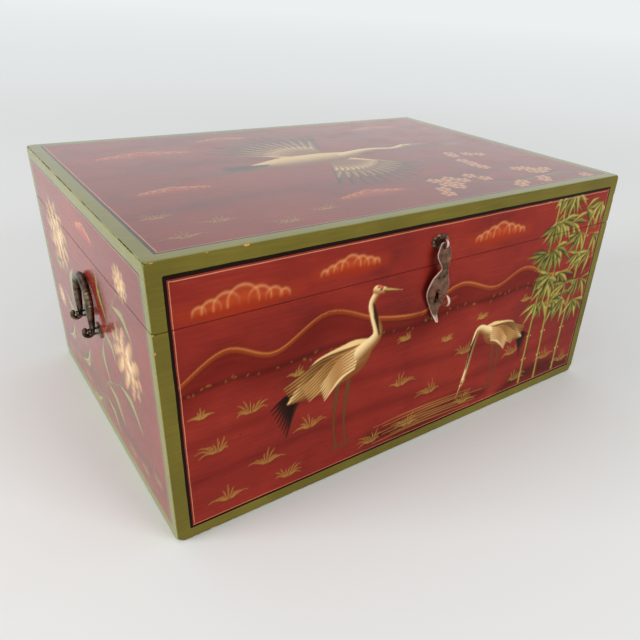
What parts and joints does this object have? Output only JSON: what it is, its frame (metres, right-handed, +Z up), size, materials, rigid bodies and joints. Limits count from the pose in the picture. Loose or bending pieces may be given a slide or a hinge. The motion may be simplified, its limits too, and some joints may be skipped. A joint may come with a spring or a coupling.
{
  "type": "painted trunk",
  "caption": "Low rectangular wooden trunk, painted red with an olive border, with a hinged lid, a front hasp over a staple and a bail handle on each end.",
  "frame": {"origin": "middle of the flat base, on the surface that the trunk stands on", "axes": "+Z up, +X along the width to the right as seen from the front, -Y out of the front with the hasp"},
  "size_m": [0.5288, 0.3786, 0.242],
  "materials": {
    "painted_wood": "hand-painted red ground with olive border, gloss varnish",
    "aged_bronze": "dark brown patina, rubbed bright on the edges",
    "brass": "dull drawn brass"
  },
  "bodies": {
    "body": {"body_front_board": "painted_wood", "body_back_board": "painted_wood", "body_left_board": "painted_wood", "body_right_board": "painted_wood", "bottom_board": "painted_wood", "left_hinge_body_leaf": "brass", "right_hinge_body_leaf": "brass", "left_hinge_pin": "brass", "right_hinge_pin": "brass", "body_hinge_screws": "brass", "hasp_staple": "aged_bronze", "left_handle_staples": "aged_bronze", "right_handle_staples": "aged_bronze", "left_handle_washers": "aged_bronze", "right_handle_washers": "aged_bronze"},
    "lid": {"lid_top_board": "painted_wood", "lid_front_board": "painted_wood", "lid_back_board": "painted_wood", "lid_left_board": "painted_wood", "lid_right_board": "painted_wood", "left_hinge_lid_leaf": "brass", "right_hinge_lid_leaf": "brass", "lid_hinge_screws": "brass", "hasp_rosette": "aged_bronze", "hasp_eye": "aged_bronze"},
    "hasp": {"hasp": "aged_bronze"},
    "left_handle": {"left_handle_bail": "aged_bronze"},
    "right_handle": {"right_handle_bail": "aged_bronze"}
  },
  "joints": [
    {"name": "lid_hinge", "type": "hinge", "parent": "body", "child": "lid", "pos_m": [0, 0.1791, 0.19115], "axis": [-1, 0, 0], "range_deg": [0, 180]},
    {"name": "hasp_swing", "type": "hinge", "parent": "lid", "child": "hasp", "pos_m": [0, -0.1823, 0.2128], "axis": [-1, 0, 0], "range_deg": [0, 180]},
    {"name": "left_handle_swing", "type": "hinge", "parent": "body", "child": "left_handle", "pos_m": [-0.2588, 0, 0.1215], "axis": [0, -1, 0], "range_deg": [0, 191]},
    {"name": "right_handle_swing", "type": "hinge", "parent": "body", "child": "right_handle", "pos_m": [0.2588, 0, 0.1215], "axis": [0, -1, 0], "range_deg": [-3, 187]}
  ]
}
